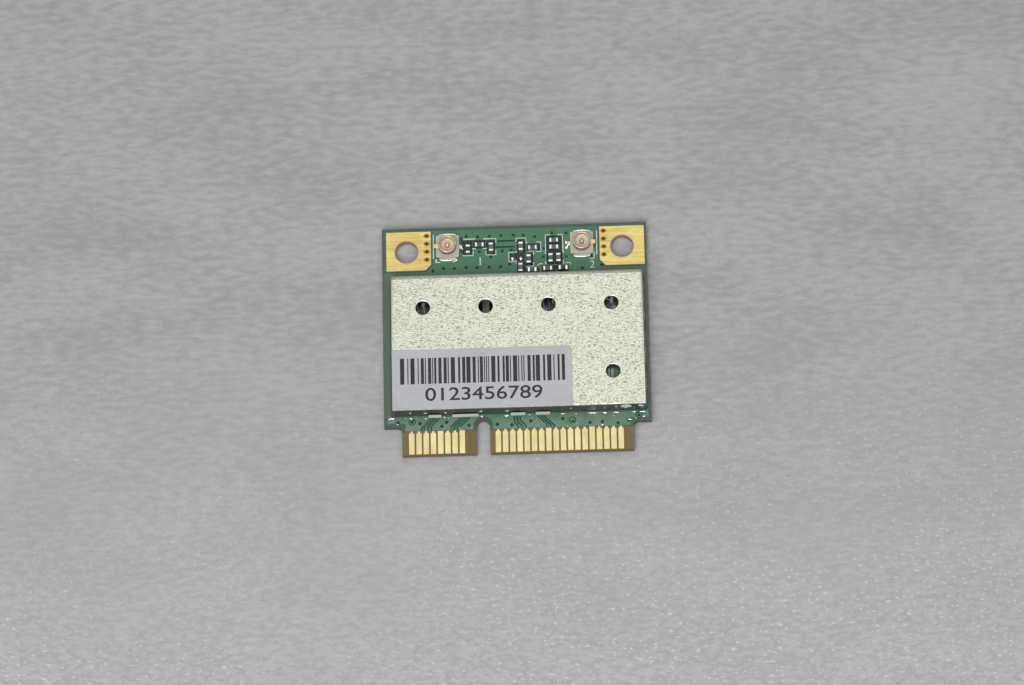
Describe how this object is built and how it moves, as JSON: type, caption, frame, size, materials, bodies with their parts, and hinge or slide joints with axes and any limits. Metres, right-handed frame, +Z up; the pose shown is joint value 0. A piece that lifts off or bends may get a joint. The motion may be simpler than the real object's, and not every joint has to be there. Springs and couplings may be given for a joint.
{
  "type": "laptop wifi card",
  "caption": "Half height mini card with a notched contact edge, screw holes, a soldered metal shield with a label and small coaxial antenna sockets.",
  "frame": {"origin": "middle of the board's outline on its underside", "axes": "+X along the contact edge, +Y from the contacts to the antenna sockets, +Z up through the shield"},
  "size_m": [0.0296, 0.0266, 0.0033],
  "materials": {
    "solder_mask": "glossy green mask over glass cloth laminate",
    "gold": "flash gold plating",
    "pad_gold": "immersion gold plating",
    "tinned_sheet": "tinned sheet with a fine crinkled grain",
    "solder": "bright solder",
    "label_film": "matte printed film",
    "socket_moulding": "moulded resin",
    "socket_gold": "gold plated phosphor bronze",
    "mould_compound": "moulding compound",
    "white_ceramic": "fired ceramic",
    "crystal_case": "plated lid on ceramic",
    "ferrite": "ferrite",
    "chip_inductor": "glazed chip with tinned ends",
    "chip_resistor": "black coated chip with tinned ends",
    "chip_capacitor": "ceramic chip with tinned ends"
  },
  "bodies": {
    "root": {"antenna_socket_1_insulator": "socket_moulding", "antenna_socket_1_pin": "socket_gold", "antenna_socket_1_shell": "socket_gold", "antenna_socket_2_insulator": "socket_moulding", "antenna_socket_2_pin": "socket_gold", "antenna_socket_2_shell": "socket_gold", "balun_1": "white_ceramic", "balun_2": "white_ceramic", "bypass_capacitor_1": "chip_capacitor", "bypass_capacitor_2": "chip_capacitor", "bypass_capacitor_3": "chip_capacitor", "bypass_capacitor_4": "chip_capacitor", "bypass_capacitor_5": "chip_capacitor", "bypass_capacitor_6": "chip_capacitor", "bypass_capacitor_7": "chip_capacitor", "bypass_capacitor_8": "chip_capacitor", "circuit_board": "solder_mask", "crystal": "crystal_case", "edge_contacts_bottom": "gold", "edge_contacts_top": "gold", "front_end_module_1": "mould_compound", "front_end_module_2": "mould_compound", "ground_pad_left": "pad_gold", "ground_pad_right": "pad_gold", "label": "label_film", "match_capacitor_1": "chip_capacitor", "match_capacitor_2": "chip_capacitor", "match_capacitor_3": "chip_capacitor", "match_capacitor_4": "chip_capacitor", "match_capacitor_5": "chip_capacitor", "match_capacitor_6": "chip_capacitor", "match_capacitor_7": "chip_capacitor", "match_capacitor_8": "chip_capacitor", "match_inductor_1": "chip_inductor", "match_inductor_2": "chip_inductor", "match_inductor_3": "chip_inductor", "match_inductor_4": "chip_inductor", "match_resistor_1": "chip_resistor", "match_resistor_2": "chip_resistor", "memory_chip": "mould_compound", "power_inductor_1": "ferrite", "power_inductor_2": "ferrite", "radio_chip": "mould_compound", "regulator": "mould_compound", "shield_can": "tinned_sheet", "shield_solder": "solder"}
  },
  "joints": []
}
